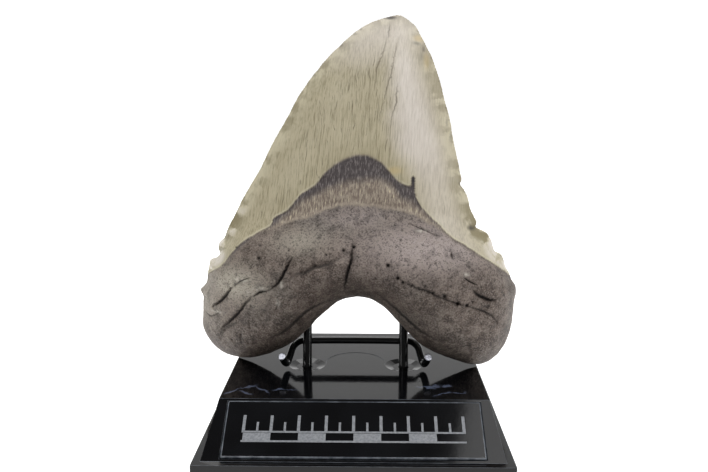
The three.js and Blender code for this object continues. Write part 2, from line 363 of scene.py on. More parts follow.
# Cracks: points, half width, depth, and how much prouder the upper side is than the lower.
ROOT_CRACKS = [
    ([(-59.6, 23.3), (-56.4, 25.2), (-52.7, 28.4), (-50.2, 31.6), (-48, 33.9)], 0.5, 2.4, 0.5),
    ([(-48, 33.9), (-44.2, 36.6), (-40.4, 38)], 0.3, 0.8, -0.5),
    ([(-56, 13), (-53.2, 16), (-49.4, 19.6), (-45.6, 23.6), (-42.4, 27.8), (-39.8, 30.3)], 0.5, 2, 0.6),
    ([(-39.8, 30.3), (-36.3, 32.4), (-33.2, 33.2)], 0.4, 1.2, 0.5),
    ([(-33, 33.2), (-30.2, 35.6), (-28.1, 38.1), (-26.6, 41), (-25.2, 43.9), (-23.6, 46.4)], 0.5, 2.4, 0),
    ([(-25.2, 37.7), (-22.6, 39.8), (-18.8, 40.6), (-15.4, 42.6), (-10.9, 43.9), (-4, 47)], 0.6, 0.9, -3),
    ([(-0.1, 50.9), (-0.8, 48.6), (-0.9, 45.4), (-1.8, 42.6), (-2.7, 39.6), (-4.2, 33.4)], 0.5, 2.6, 0),
    ([(42.3, 39.2), (45, 37.4), (47.9, 36.1)], 0.35, 1.2, -0.4),
    ([(46, 34.6), (48, 32.4), (50.4, 31), (53, 29.8), (55.8, 29.5)], 0.6, 2.4, 0.7),
    ([(21.6, 60.3), (25.4, 58.6), (29, 57.1), (33.1, 55.4)], 0.25, 0.5, -0.2),
    ([(37.6, 49.7), (37.7, 48), (38.2, 46.2)], 0.4, 0.8, 0),
    ([(17, 39.1), (24.8, 35.3), (29, 33.9), (32.2, 32.1), (38, 29.8), (44, 27.6)], 0.4, 0.8, 0.5),
    ([(44, 27.6), (50, 25.6), (54.6, 22.8), (57.4, 19)], 0.4, 0.8, 0.7),
    ([(-35, 12.4), (-29.6, 15.2), (-25.9, 18.3), (-18.4, 25.5), (-13.4, 28.2), (-8.8, 30.4)], 0.55, 1.1, 0.9),
    ([(8.6, 33), (13.2, 29.2), (16.6, 26.4), (19.8, 23.3), (26.2, 17.7), (33, 13.4)], 0.55, 1.2, 0.9),
    ([(-66, 20), (-62, 18.4), (-58.6, 19.2), (-55.4, 21.6)], 0.35, 0.7, 0.3),
    ([(-57, 8.4), (-55.6, 12), (-51.6, 15.6), (-46, 19)], 0.7, 0.5, 0.5),
    ([(-31, 24.6), (-29.6, 28), (-29.8, 31.4)], 0.3, 0.4, 0),
]
ENAMEL_CRACKS = [
    ([(12.9, 143.2), (12.6, 139.4), (12.2, 136.4)], 0.3, 0.45, 0),
    ([(11.4, 135.6), (10.3, 129.1), (9.1, 126.1), (8, 122.8), (7.6, 118.6), (6.9, 113.6)], 0.2, 0.35, 0),
    ([(16.7, 137), (14.9, 127.9), (14, 121.9), (12, 114.5), (10.2, 106.9), (9, 103.6)], 0.2, 0.35, 0),
    ([(16.4, 117.4), (15.8, 111.4), (16, 109.5), (14.4, 103.9), (13.5, 99.8)], 0.24, 0.4, 0),
]
# Round pores: across, up, radius.
PORES = [
    (-4, 49.6, 0.7), (-0.1, 51, 0.75), (-10.6, 47.8, 0.5), (13.3, 44, 0.85), (17, 39.2, 0.75),
    (19, 37.6, 0.6), (35.1, 32, 0.9), (40.4, 28.9, 0.85), (44, 27.9, 0.7), (46.3, 29.3, 0.45),
    (27.5, 36.1, 0.5), (-25.3, 49.4, 0.45), (-37.2, 46, 0.7), (30.6, 33.4, 0.5),
    (22.4, 36.4, 0.4), (-47.6, 50.2, 0.5), (29.4, 44.2, 0.4), (-17, 36, 0.4), (8.6, 39, 0.4),
    (49.6, 35.2, 0.45), (-41, 26, 0.4), (-51, 9.6, 0.5), (-46.5, 12.8, 0.45),
]


# Stains: across, up, half width, half height, and strength; a strength below 0 is a warm one.
STAINS = [
    (13.2, 146.4, 2.6, 0.8, 0.85), (24.2, 135.2, 1.6, 0.7, 0.45), (47, 59.4, 1.7, 1.0, 0.8),
    (43.2, 77, 1.0, 1.2, 0.4), (26, 129.6, 0.6, 2.0, 0.3), (38.6, 96.6, 0.5, 3.0, 0.4),
    (36.8, 103, 0.4, 2.6, 0.35), (27, 133, 0.7, 1.2, 0.5), (24.8, 137.6, 2.2, 1.6, -0.7),
    (28.2, 128, 1.3, 3.6, -0.5), (15.4, 81.4, 3.0, 1.6, -0.6), (-23.4, 117.4, 0.9, 0.6, 0.5),
    (-31.6, 103, 0.8, 0.7, 0.5), (-18.2, 122.6, 0.9, 0.6, 0.4), (45.4, 74.6, 1.2, 0.8, 0.5),
    (-1.6, 139.6, 1.4, 0.5, 0.35), (22.8, 77.6, 0.6, 1.7, 0.8), (-7.2, 135, 0.8, 0.6, 0.45),
]


# Chalky deposits beside the cracks: across, up, half width, half height.
CHALK = [
    (-36.4, 33.4, 3.4, 1.2), (-44.6, 36.8, 3.0, 0.7), (-28.0, 35.8, 1.0, 1.2),
    (-41.5, 31.4, 2.0, 0.8), (-57.4, 21.2, 2.4, 0.5), (-29.6, 28.6, 0.8, 1.6),
    (-20.6, 14.4, 0.7, 1.6), (26.4, 57.6, 2.2, 0.6), (43.4, 40.6, 1.6, 0.7),
]


def curve_height(curve, across):
    """The height of a left-to-right curve at each place across."""
    line = smooth_curve(curve, 0.4)
    order = np.argsort(line[:, 0])
    return np.interp(across, line[order, 0], line[order, 1])


def inflate(outline, cell=1.0, sweeps=350, pull=1.94):
    """A smooth pillow over an outline, by relaxing a grid. Returns a function of points."""
    low = outline.min(0) - 3 * cell
    shape = np.ceil((outline.max(0) + 3 * cell - low) / cell).astype(int) + 1
    gx, gy = np.meshgrid(np.arange(shape[0]), np.arange(shape[1]), indexing="ij")
    places = np.c_[gx.ravel(), gy.ravel()] * cell + low
    core_inside = inside_outline(places, outline).reshape(shape)[1:-1, 1:-1]
    pillow = np.zeros(shape)
    core = pillow[1:-1, 1:-1]
    checker = (gx + gy)[1:-1, 1:-1] % 2
    masks = [core_inside & (checker == colour) for colour in (0, 1)]
    for _ in range(sweeps):
        for mask in masks:
            around = pillow[:-2, 1:-1] + pillow[2:, 1:-1] + pillow[1:-1, :-2] + pillow[1:-1, 2:]
            core[mask] += pull * ((around + 2 * cell**2) / 4 - core)[mask]

    def sample(points):
        grid = (points - low) / cell
        corner = np.clip(np.floor(grid).astype(int), 0, shape - 2)
        fx, fy = (grid - corner).T
        x, y = corner.T
        left = pillow[x, y] * (1 - fy) + pillow[x, y + 1] * fy
        right = pillow[x + 1, y] * (1 - fy) + pillow[x + 1, y + 1] * fy
        return left * (1 - fx) + right * fx

    return sample


def rounded_edge(distance, reach, power):
    return (1 - (1 - np.minimum(distance / reach, 1)) ** 2) ** power


def lobe_sweep(points):
    """How far the root's lobes bend back."""
    reach = np.where(points[:, 0] < 0, LEFT_SWEEP, RIGHT_SWEEP)
    return reach * (points[:, 0] / LOBE_REACH) ** 2 * (1 - smoothstep(points[:, 1], 5, 60))


def place_tooth(points, back):
    """From the tooth's own millimetres, and a depth behind its rim's plane, to the frame's."""
    sweep = lobe_sweep(points)
    y = back + sweep * math.cos(TOOTH_LEAN)
    z = points[:, 1] + sweep * math.sin(TOOTH_LEAN)
    leaned_y = y * math.cos(TOOTH_LEAN) + z * math.sin(TOOTH_LEAN)
    leaned_z = z * math.cos(TOOTH_LEAN) - y * math.sin(TOOTH_LEAN)
    x = points[:, 0] * math.cos(TOOTH_TURN) - leaned_y * math.sin(TOOTH_TURN)
    turned_y = points[:, 0] * math.sin(TOOTH_TURN) + leaned_y * math.cos(TOOTH_TURN)
    return np.stack([x, turned_y + TOOTH_Y, leaned_z], 1)


def serrated_rim(step):
    """The rim with fine saw teeth along the crown's cutting edges."""
    rim = smooth_curve(TOOTH_RIM, step, closed=True)
    tangent = np.roll(rim, -1, 0) - np.roll(rim, 1, 0)
    normal = np.stack([-tangent[:, 1], tangent[:, 0]], 1)
    normal /= np.linalg.norm(normal, axis=1)[:, None]
    along = np.arange(len(rim)) * step
    saw = np.abs(np.sin(math.pi * along / 1.3)) ** 0.8 - 0.5
    wander = fractal_noise(np.c_[along, along * 0], 4.4, 3, 11)
    crown = smoothstep(rim[:, 1], 40, 46)
    chip = fractal_noise(np.c_[along, along * 0], 1.6, 2, 5)
    offset = crown * (0.2 * saw + 0.16 * wander + 0.12 * chip) + (1 - crown) * 0.22 * wander
    return rim + normal * offset[:, None]


class ToothForm:
    """The tooth's surfaces as heights over its rim's plane."""

    def __init__(self):
        self.rim = serrated_rim(0.42)
        plain = smooth_curve(TOOTH_RIM, 0.8, closed=True)
        self.plain_rim = plain
        self.pillow = inflate(plain)

    def front_depth(self, points, distance):
        pillow = np.maximum(self.pillow(points), 0)
        root = 0.80 * np.sqrt(pillow + 120) * rounded_edge(distance, 11, 0.5)
        crown = 0.42 * np.sqrt(pillow + 25) * rounded_edge(distance, 20, 0.75)
        rootness = 1 - smoothstep(points[:, 1], 38, 66)
        return crown + (root - crown) * rootness

    def back_depth(self, points, distance):
        depth = 2.4 + 1.6 * smoothstep(points[:, 1], 35, 70)
        return depth * rounded_edge(distance, 9, 0.5)


def crack_field(points, cracks, seed):
    """Depth of a set of cracks at each point, the shade painted into them, and their steps."""
    depth = np.zeros(len(points))
    dark = np.zeros(len(points))
    steps = np.zeros(len(points))
    rng = np.random.default_rng(seed)
    for route, width, deep, step in cracks:
        line = smooth_curve(route, 0.45)
        line[1:-1] += rng.normal(0, 0.09, line[1:-1].shape)
        near = np.abs(points - line.mean(0)).max(1) < np.ptp(line, axis=0).max() / 2 + 16
        distance, along, over = nearest_on_line(points[near], line)
        taper = np.clip(np.sin(math.pi * np.clip(along, 0.02, 0.98)), 0, 1) ** 0.5
        size = width * (0.35 + 0.65 * taper)
        shape = np.exp(-((distance / size) ** 2))
        depth[near] = np.maximum(depth[near], deep * taper * shape)
        # Painted shade: darker for deeper cracks.
        strength = min(1.0, 0.35 + deep / 2.0)
        shade = strength * taper * np.exp(-((distance / size) ** 4))
        dark[near] = np.maximum(dark[near], shade)
        side = np.tanh(over / (width * 0.6))
        steps[near] += 0.5 * step * side * taper * np.exp(-distance / 4.5)
    return depth, dark, steps


# Depth of each round pore, and the shade painted into it.
def pore_field(points):
    depth = np.zeros(len(points))
    dark = np.zeros(len(points))
    for across, up, radius in PORES:
        distance = np.hypot(points[:, 0] - across, points[:, 1] - up)
        depth = np.maximum(depth, 1.6 * radius * np.exp(-((distance / radius) ** 4)))
        dark = np.maximum(dark, np.exp(-((distance / (radius * 0.95)) ** 4)))
    return depth, dark


def crack_rails(cracks):
    """Rows of points beside each crack, so that its walls are steep and its line is crisp."""
    rows = []
    for route, width, _, _ in cracks:
        line = smooth_curve(route, 0.3)
        tangent = np.gradient(line, axis=0)
        normal = np.stack([-tangent[:, 1], tangent[:, 0]], 1)
        normal /= np.linalg.norm(normal, axis=1)[:, None] + 1e-9
        for share in (-1.5, -0.7, 0.0, 0.7, 1.5):
            rows.append(line + normal * share * width)
    return np.concatenate(rows)


def sheet_points(rim, spacing, insets, rails, seed):
    """Points over the inside of the rim: rows that follow it, rails, then an even lattice."""
    tangent = np.roll(rim, -1, 0) - np.roll(rim, 1, 0)
    normal = np.stack([-tangent[:, 1], tangent[:, 0]], 1)
    normal /= np.linalg.norm(normal, axis=1)[:, None]
    middle = np.array([0.0, 60.0])
    if ((rim - middle) * normal).sum() > 0:
        normal = -normal
    rows = [rim]
    for level, inset in enumerate(insets):
        row = (rim + normal * inset)[level % 2 :: 1 if inset < 1 else 2]
        distance, _, _ = nearest_on_line(row, rim, closed=True)
        keep = inside_outline(row, rim) & (distance > inset * 0.9)
        rows.append(row[keep])
    reach = insets[-1] + spacing * 0.6
    low, high = rim.min(0), rim.max(0)
    lattice = []
    pitch = spacing * math.sqrt(3) / 2
    for j, y in enumerate(np.arange(low[1], high[1], pitch)):
        x = np.arange(low[0], high[0], spacing) + (j % 2) * spacing / 2
        lattice.append(np.c_[x, np.full_like(x, y)])
    lattice = np.concatenate(lattice)
    rng = np.random.default_rng(seed)
    lattice += rng.uniform(-0.08, 0.08, lattice.shape) * spacing
    lattice = lattice[inside_outline(lattice, rim)]
    distance, _, _ = nearest_on_line(lattice, rim[::2], closed=True)
    lattice = lattice[distance > reach]
    if rails is not None:
        distance, _, _ = nearest_on_line(rails, rim[::2], closed=True)
        rails = rails[inside_outline(rails, rim) & (distance > reach)]
        taken = thin_out(rails, 0.16)
        rails = rails[taken]
        lattice = lattice[far_from(lattice, rails, spacing * 0.75)]
        rows.append(rails)
    rows.append(lattice)
    return np.concatenate(rows)


def thin_out(points, gap):
    """Indices of points that leave at most one in each small cell."""
    cells = np.round(points / gap).astype(int)
    _, first = np.unique(cells, axis=0, return_index=True)
    return np.sort(first)


def far_from(points, others, gap):
    """Which points are further than gap from all the others, tested on a coarse grid."""
    keep = np.ones(len(points), bool)
    size = gap * 2
    buckets = {}
    for index, cell in enumerate(map(tuple, np.floor(others / size).astype(int))):
        buckets.setdefault(cell, []).append(index)
    for index, cell in enumerate(map(tuple, np.floor(points / size).astype(int))):
        for dx in (-1, 0, 1):
            for dy in (-1, 0, 1):
                near = buckets.get((cell[0] + dx, cell[1] + dy))
                if near and (np.hypot(*(others[near] - points[index]).T) < gap).any():
                    keep[index] = False
    return keep


def triangulate(points, rim_count):
    """Triangles over the points, inside the closed rim that the first of them make."""
    vectors = [Vector(p) for p in points]
    edges = [(i, (i + 1) % rim_count) for i in range(rim_count)]
    _, _, faces, origins, _, _ = delaunay_2d_cdt(vectors, edges, [], 1, 1e-7)
    source = np.array([origin[0] for origin in origins])
    return source[np.array([f for f in faces if len(f) == 3])]


def tooth_attributes(points, front):
    """Masks for the finish, from 0 to 1, one row for each point."""
    across, up = points.T
    if front:
        soft = 0.35 * fractal_noise(points, 2.4, 3, 21)
        enamel_edge = curve_height(ENAMEL_EDGE, across) + soft
        dark_edge = curve_height(DARK_EDGE, across) + 2 * soft
        root_edge = curve_height(ROOT_EDGE, across) + 2 * soft
    else:
        soft = 0.9 * fractal_noise(points, 5.0, 3, 22)
        enamel_edge = curve_height(BACK_ENAMEL_EDGE, across) + soft
        dark_edge = enamel_edge - 1.5
        root_edge = enamel_edge - 2.5
    apex = np.exp(-(((across - 2) / 16) ** 4)) if front else 0 * across + 0.5
    enamel = smoothstep(up, enamel_edge - 0.3 - 0.5 * apex, enamel_edge + 0.3 + 0.6 * apex)
    root = 1 - smoothstep(up, root_edge - 1.0, root_edge + 0.5)
    dark = smoothstep(up, dark_edge - 3.0, dark_edge + 2.0) * (1 - enamel)
    # The pale patch on the crown's right and top is partly the enamel's own pale tone and partly a painted
    # sheen from the light on the right.
    split = np.interp(up, [40, 75, 90, 104, 120, 136, 150], [34, 26, 18, 14.5, 15.5, 16, 10])
    wobble = 2.5 * fractal_noise(points, 9.0, 3, 23)
    pale = smoothstep(across - split + wobble, -7.0, 6.0)
    pale *= 1 - 0.7 * smoothstep(across - np.interp(up, [40, 148], [56, 22]), -12, 0)
    pale *= 0.55 + 0.45 * smoothstep(up, 70, 96)
    pale = np.maximum(pale, 0.85 * smoothstep(up + wobble, 118, 142))
    halo = np.exp(-np.maximum(up - enamel_edge, 0) / 2.0) * (0.3 + 0.5 * apex)
    lip = np.exp(-(((up - enamel_edge - 0.3) / 0.45) ** 2)) * (1 - apex)
    arc = np.exp(-(((up - root_edge - 0.2) / 0.6) ** 2)) * (1 - smoothstep(np.abs(across), 24, 40))

    def patch(x, y, wide, tall):
        """A soft patch round x and y; wide and tall are the squares of its reach."""
        return np.exp(-((across - x) ** 2 / wide + (up - y) ** 2 / tall))

    cool = np.maximum(patch(29, 51, 600, 90), 0.6 * patch(2, 63, 200, 30))
    green = 0.7 * smoothstep(-across + 1.5 * wobble, 44, 66) * smoothstep(up, 4, 30)
    green = np.maximum(green, patch(-48, 35, 150, 60))
    green = np.maximum(green, 0.6 * patch(-22, 53, 120, 30))
    brown = np.maximum(patch(1, 36, 320, 70), 0.8 * (1 - smoothstep(up + wobble, 6, 26)))
    chalk = np.zeros(len(points))
    for x, y, wide, tall in CHALK if front else ():
        reach = ((across - x) / wide) ** 2 + ((up - y) / tall) ** 2
        chalk = np.maximum(chalk, np.exp(-reach))
    chalk *= smoothstep(value_noise(points, 0.9, 24), 0.25, 0.75)
    stain = np.zeros(len(points))
    warm = np.zeros(len(points))
    for x, y, wide, tall, strength in STAINS if front else ():
        spot = np.exp(-(((across - x) / wide) ** 2 + ((up - y) / tall) ** 2) ** 1.5)
        if strength > 0:
            stain = np.maximum(stain, strength * spot)
        else:
            warm = np.maximum(warm, -strength * spot)
    return {
        "enamel": enamel, "root": root, "dark": dark, "pale": pale * enamel, "halo": halo,
        "lip": lip, "arc": arc, "cool": cool, "green": green, "stain": stain, "warm": warm,
        "brown": brown, "chalk": chalk,
    }


def build_tooth_mesh():
    form = ToothForm()
    rim = form.rim
    insets = (0.05, 0.16, 0.34, 0.6, 0.95, 1.4, 1.95)
    rails = crack_rails(ROOT_CRACKS + ENAMEL_CRACKS)
    front = sheet_points(rim, 0.56, insets, rails, 1)
    back = sheet_points(rim, 1.05, insets, None, 2)
    count = len(rim)
    vertices = []
    layers = []
    for points, is_front in ((front, True), (back, False)):
        distance, along, _ = nearest_on_line(points, rim, closed=True)
        distance[:count] = 0
        plain_distance, _, _ = nearest_on_line(points, form.plain_rim, closed=True)
        soft_distance = np.where(distance > 2, plain_distance, distance)
        soft_distance = np.minimum(soft_distance, np.maximum(distance, plain_distance))
        mask = tooth_attributes(points, is_front)
        inward = smoothstep(distance, 0.0, 2.0)
        grain = fractal_noise(points, 1.7, 2, 31)
        lumps = fractal_noise(points, 9.0, 3, 32)
        rootlike = 1 - mask["enamel"]
        folds_place = np.c_[along * count * 0.42, distance * 0.25]
        fold_noise = fractal_noise(folds_place, 3.0, 2, 33)
        folds = fold_noise * np.exp(-distance / 5.0)
        low = 1 - smoothstep(points[:, 1], 56, 74)
        bead_noise = value_noise(folds_place * np.array([1.0, 3.2]), 3.2, 35)
        beads = (smoothstep(bead_noise, 0.2, 0.75) - 0.3) * np.exp(-((distance / 4.4) ** 2))
        mask["low"] = low
        # The fold tone paints light and shade on the folded edges and, low on the crown, on the beads:
        # lighter where they stand out, darker in their hollows.
        soft_tone = 0.5 + 0.9 * fold_noise
        mask["fold_shading"] = soft_tone + low * (smoothstep(bead_noise, 0.3, 0.7) - soft_tone)
        ripple = fractal_noise(points * np.array([1.0, 0.07]), 1.5, 2, 34)
        pits = smoothstep(value_noise(points, 1.5, 36), 0.74, 0.92)
        stripes = fractal_noise(points * np.array([1.0, 0.16]), 1.1, 2, 37)
        band = (1 - mask["root"]) * rootlike
        bumps = fractal_noise(points, 5.5, 2, 38)
        relief = rootlike * (0.18 * grain + 0.5 * lumps + 0.34 * bumps)
        relief -= 0.45 * pits * mask["root"]
        relief += mask["enamel"] * (0.05 * ripple + 0.14 * lumps + 0.4 * folds)
        relief += mask["enamel"] * low * 2.4 * beads
        relief += band * 0.12 * stripes + 0.3 * mask["enamel"] - 0.15 * mask["dark"]
        relief += 0.55 * mask["root"] + 0.25 * mask["arc"]
        groove_shade = np.zeros(len(points))
        if is_front:
            crack, crack_shade, steps = crack_field(points, ROOT_CRACKS, 3)
            fine, fine_crack_shade, _ = crack_field(points, ENAMEL_CRACKS, 4)
            pore, pore_shade = pore_field(points)
            relief += steps * mask["root"] - crack - fine - pore
            # The groove mask is painted shade in the cracks and pores.
            groove_shade = np.maximum.reduce([crack_shade, 0.8 * fine_crack_shade, pore_shade])
            height = -(form.front_depth(points, soft_distance) + relief * inward)
        else:
            height = form.back_depth(points, soft_distance) + relief * inward
        height[:count] = 0
        place = place_tooth(points, height)
        skip = 0 if is_front else count
        vertices.append(place[skip:])
        lean_across = points[:, 0] - 0.07 * (points[:, 1] - 80)
        mask["groove_shade"] = groove_shade
        mask["rim_distance"] = distance
        mask["grain_space"] = np.stack([lean_across, height, points[:, 1]], 1)
        mask["rim_space"] = np.stack([along * count * 0.42, distance, distance * 0], 1)
        layers.append({name: value[skip:] for name, value in mask.items()})
    front_faces = triangulate(front, count)
    back_faces = triangulate(back, count)[:, ::-1]
    back_faces = np.where(back_faces < count, back_faces, back_faces + len(front) - count)
    vertices = np.concatenate(vertices)
    vertices[:, 2] += TOOTH_LOW.z / MM - vertices[:, 2].min()
    faces = np.concatenate([front_faces, back_faces])
    merged = {name: np.concatenate([layer[name] for layer in layers]) for name in layers[0]}
    return vertices * MM, faces, merged


def mesh_from_arrays(name, vertices, faces, attributes=None):
    """A smooth-shaded object from numpy vertices and triangles."""
    mesh = bpy.data.meshes.new(name)
    mesh.vertices.add(len(vertices))
    mesh.vertices.foreach_set("co", vertices.astype(np.float32).ravel())
    mesh.loops.add(faces.size)
    mesh.loops.foreach_set("vertex_index", faces.astype(np.int32).ravel())
    mesh.polygons.add(len(faces))
    mesh.polygons.foreach_set("loop_start", np.arange(0, faces.size, 3, dtype=np.int32))
    mesh.update(calc_edges=True)
    mesh.validate()
    for label, values in (attributes or {}).items():
        is_vector = values.ndim == 2
        kind = "FLOAT_VECTOR" if is_vector else "FLOAT"
        layer = mesh.attributes.new(label, kind, "POINT")
        layer.data.foreach_set("vector" if is_vector else "value", values.astype(np.float32).ravel())
    mesh.shade_smooth()
    return link_object(name, mesh)


def link_object(name, data):
    piece = bpy.data.objects.new(name, data)
    bpy.context.scene.collection.objects.link(piece)
    return piece


def settle(piece, slot, *nodes):
    """The piece rides with the stand and stands for its solid nodes; its slot is not used."""
    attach(piece, "root")
    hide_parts(*nodes)


# ---------------------------------------------------------------- finishes


def fossil_material(colours):
    """Enamel, collar and root, blended by the masks on the tooth."""
    g = Graph("fossil_tooth", Roughness=0.5, IOR=1.5)
    g.shader.inputs["Specular IOR Level"].default_value = 0.45
    place = g.object_coords()
    grain_space = g.attribute("grain_space", "Vector")
    rim_space = g.attribute("rim_space", "Vector")
    enamel = g.attribute("enamel")
    root = g.attribute("root")
    dark = g.attribute("dark")
    pale = g.attribute("pale")
    groove_shade = g.attribute("groove_shade")
    rim_distance = g.attribute("rim_distance")

    halo = g.attribute("halo")
    lip = g.attribute("lip")
    arc = g.attribute("arc")
    cool = g.attribute("cool")
    green = g.attribute("green")
    stain = g.attribute("stain")
    warm = g.attribute("warm")

    # Enamel: long fine streaks, dark hair cracks, cloudy patches, a pale patch that is partly a painted
    # sheen, and folded edges with painted highlights on their ridges and painted shade in their hollows.
    streaks = g.noise(g.stretch(grain_space, (1.0, 0.3, 0.05)), 2.0, 5.0, 0.65)
    drift = g.noise(g.stretch(grain_space, (1.0, 0.3, 0.3)), 0.09, 3.0, 0.5)
    across = g.add("ShaderNodeSeparateXYZ", None, {0: grain_space}, 0)
    lines = (across * 2.7 + drift * 34).math("SINE").math("ABSOLUTE").rise(0.2, 0.04)
    breaks = g.noise(g.stretch(grain_space, (1.0, 1.0, 0.2), (3.0, 1.0, 9.0)), 0.62, 3.0, 0.6)
    hair_cracks = lines * breaks.rise(0.5, 0.62) * enamel * (1 - pale * 0.8)
    hair_cracks = hair_cracks * rim_distance.rise(6.0, 14.0)
    clouds = g.noise(grain_space, 0.07, 4.0, 0.6)
    tone = g.mix(clouds.rise(0.36, 0.66), colours["olive"], colours["cream"])
    tone = g.mix(streaks.rise(0.38, 0.62) * 0.85, tone, colours["straw"])
    tone = g.mix(streaks.rise(0.49, 0.34) * 0.7, tone, colours["reed"])
    # The pale patch: partly pale enamel, partly a painted sheen.
    pale_tone = g.mix(streaks.rise(0.34, 0.72), colours["pale"], colours["ivory"])
    tone = g.mix(pale * 0.85, tone, pale_tone)
    # Painted light and shade on the folded edges and beads: butter and ivory as painted highlights on their
    # ridges, the green-olive tones as painted shade in their hollows.
    wander = g.noise(g.stretch(place, (1.0, 1.0, 0.6)), 330.0, 3.0, 0.55)
    fold_shading = g.attribute("fold_shading") + (wander - 0.5) * 1.8
    edge_tone = g.mix(fold_shading.rise(0.15, 0.85), colours["fold_shade_tone"], colours["butter"])
    tone = g.mix(rim_distance.rise(9.0, 0.5) * (0.6 - pale * 0.25), tone, edge_tone)
    nicks = g.noise(g.stretch(rim_space, (0.8, 0.6, 1.0)), 1.0, 2.0, 0.6).rise(0.56, 0.66)
    tone = g.mix(nicks * rim_distance.rise(1.1, 0.3) * 0.6, tone, colours["hair"])
    low_edge = g.attribute("low") * rim_distance.rise(6.0, 3.0)
    tone = g.mix(low_edge * fold_shading.rise(0.45, 0.0) * 0.8, tone, colours["olive_dark"])
    tone = g.mix(low_edge * fold_shading.rise(0.6, 1.1) * 0.7, tone, colours["ivory"])
    tone = g.mix(halo * 0.4, tone, colours["olive_dark"])
    tone = g.mix(lip * 0.8, tone, colours["butter"])
    tone = g.mix(warm * 0.7, tone, colours["honey"])
    tone = g.mix(hair_cracks * 0.75, tone, colours["hair"])

    # Root: a fine grain over brown mottling, cooler high on the right, greener on the left.
    mottle = g.noise(place, 120.0, 4.0, 0.6)
    patches = g.noise(g.stretch(place, (1.0, 1.0, 1.0), (0.3, 0.1, 0.2)), 34.0, 3.0, 0.5)
    stone = g.mix(mottle.rise(0.34, 0.68), colours["umber"], colours["taupe"])
    stone = g.mix(patches.rise(0.45, 0.7) * 0.45, stone, colours["slate"])
    stone = g.mix(g.attribute("brown") * 0.6, stone, colours["cocoa"])
    stone = g.mix(cool * 0.75, stone, colours["lavender"])
    stone = g.mix(green * 0.85, stone, colours["sage"])
    grains = g.noise(place, 1500.0, 3.0, 0.7)
    coarse = g.noise(g.stretch(place, (1.0, 1.0, 1.0), (0.5, 0.2, 0.1)), 560.0, 4.0, 0.65)
    stone = g.mix(grains.rise(0.49, 0.64) * 0.6, stone, colours["grit"])
    stone = g.mix(grains.rise(0.5, 0.36) * 0.7, stone, colours["soot"])
    stone = g.mix(coarse.rise(0.44, 0.3) * 0.75, stone, colours["soot"])
    blotch = g.noise(g.stretch(place, (1.0, 1.0, 1.0), (0.7, 0.4, 0.9)), 250.0, 3.0, 0.55)
    stone = g.mix(blotch.rise(0.5, 0.7) * 0.35, stone, colours["grit"])
    stone = g.mix(blotch.rise(0.5, 0.3) * 0.45, stone, colours["soot"])
    stone = g.mix(g.attribute("chalk") * 0.75, stone, colours["chalk"])

    # Collar: near black at the top, streaked brown below.
    dashes = g.noise(g.stretch(grain_space, (1.0, 0.4, 0.22)), 1.9, 3.0, 0.6)
    band = g.mix(dashes.rise(0.38, 0.6), colours["bark"], colours["fawn"])
    band = g.mix(dashes.rise(0.6, 0.7), band, colours["sand"])
    collar = g.mix(dark, band, g.mix(dashes.rise(0.45, 0.75), colours["coal"], colours["ash"]))

    surface = g.mix(root, collar, stone)
    surface = g.mix(arc * 0.5, surface, colours["fawn"])
    surface = g.mix(enamel, surface, tone)
    surface = g.mix(stain, surface, colours["ink"])
    # Painted shade in the cracks and pores.
    surface = g.mix(groove_shade, surface, colours["crack"])

    rough = 0.66 - enamel * 0.22 + groove_shade * 0.2 + (streaks - 0.5) * enamel * 0.2
    grit_height = (grains * 0.45 + coarse * 0.8 + mottle * 0.7) * (1 - enamel)
    streak_height = streaks * enamel * 0.35 + dashes * (1 - enamel) * (1 - root) * 0.6
    height = grit_height + streak_height - hair_cracks * 0.5
    return g.finish(Base_Color=surface, Roughness=rough, Normal=g.bump(height, 0.0006, 0.75))


# Pale wisps on the deck, in millimetres: from x and y, to x and y, and half width.
VEINS = [
    (-50, -25, -44.5, -20, 0.7), (-45, -20, -38, -17.4, 0.7), (-39, -17.6, -32.5, -25.5, 0.6),
    (-45, -22, -38.5, -27, 0.5), (-32, -22, -22, -20.2, 0.4), (24, -16.4, 34, -17.6, 0.6),
    (34, -17.6, 38.5, -16, 0.5), (30, -27, 37.5, -23, 0.7), (37.5, -23, 43, -22, 0.5),
]


def vein_mask(g, place):
    """Soft wisps on the deck, each along a short stroke that noise bends."""
    x, y, z = (g.add("ShaderNodeSeparateXYZ", None, {0: place}, k) / MM for k in range(3))
    bend = (g.noise(place, 130.0, 4.0, 0.6) - 0.5) * 11
    swell = g.noise(place, 210.0, 3.0, 0.6).rise(0.35, 0.65) * 1.6 + 0.5
    total = 0.0
    for x0, y0, x1, y1, width in VEINS:
        share = (x - x0) / (x1 - x0)
        off = (y - y0 - share * (y1 - y0) + bend).math("ABSOLUTE") / swell
        stroke = off.rise(width * 1.7, 0) * share.rise(-0.1, 0.25) * share.rise(1.1, 0.75)
        total = stroke.math("MAXIMUM", total)
    return total * z.rise(DECK_Z - 0.6, DECK_Z - 0.2)


def edge_highlight_material():
    """The moulding's edges, a little greyer than its faces: a painted highlight along them."""
    g = Graph("painted_highlight_edge", Roughness=0.2, IOR=1.5)
    place = g.object_coords()
    patchy_noise = g.noise(place, 240.0, 3.0, 0.6)
    colour = g.mix(patchy_noise.rise(0.35, 0.7), srgb(78, 83, 90), srgb(124, 130, 138))
    return g.finish(Base_Color=colour, Roughness=0.14 + patchy_noise * 0.14)


